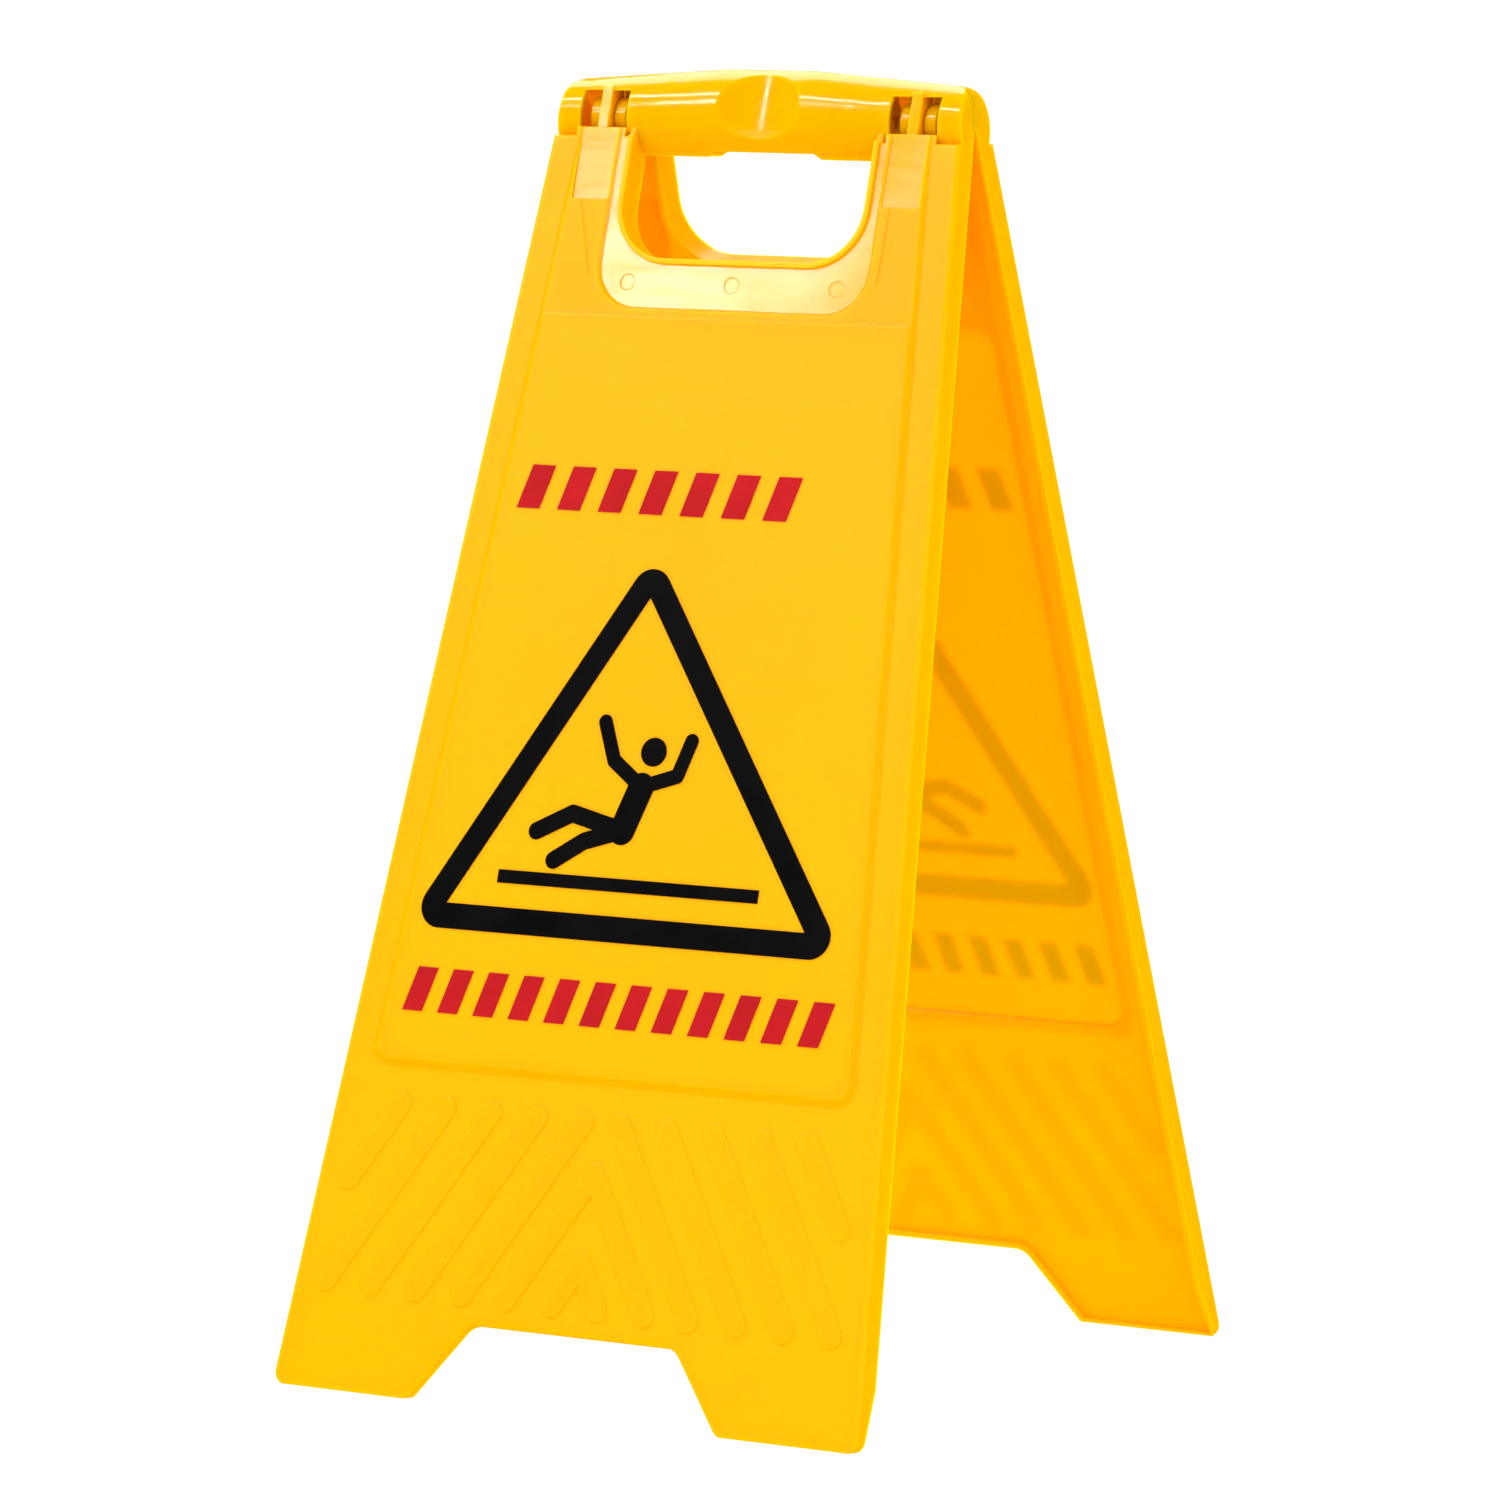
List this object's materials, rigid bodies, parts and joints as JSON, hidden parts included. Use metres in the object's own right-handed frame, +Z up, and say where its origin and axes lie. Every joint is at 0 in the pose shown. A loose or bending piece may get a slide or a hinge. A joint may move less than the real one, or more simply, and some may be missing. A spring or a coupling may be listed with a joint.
{
  "type": "wet floor sign",
  "caption": "Folding A-frame wet floor sign: two moulded yellow panels hinged inside a split carrying handle, each printed with a warning triangle.",
  "frame": {"origin": "On the floor, at the centre of the open sign's footprint", "axes": "X across the sign and along the hinge, -Y out of the front panel, +Z up"},
  "size_m": [0.299, 0.3446, 0.5845],
  "materials": {
    "yellow_polypropylene": "injection-moulded polypropylene, glossy, solid colour",
    "black_ink": "screen-printed ink film",
    "red_ink": "screen-printed ink film"
  },
  "bodies": {
    "front": {"front_panel": "yellow_polypropylene", "hinge_pin_left": "yellow_polypropylene", "hinge_pin_right": "yellow_polypropylene", "warning_triangle_front": "black_ink", "slipping_figure_front": "black_ink", "floor_bar_front": "black_ink", "upper_marks_front": "red_ink", "lower_marks_front": "red_ink"},
    "rear": {"rear_panel": "yellow_polypropylene", "warning_triangle_rear": "black_ink", "slipping_figure_rear": "black_ink", "floor_bar_rear": "black_ink", "upper_marks_rear": "red_ink", "lower_marks_rear": "red_ink"}
  },
  "joints": [
    {"name": "fold_hinge", "type": "hinge", "parent": "front", "child": "rear", "pos_m": [0, 0, 0.56168], "axis": [-1, 0, 0], "range_deg": [0, 31.6]}
  ]
}
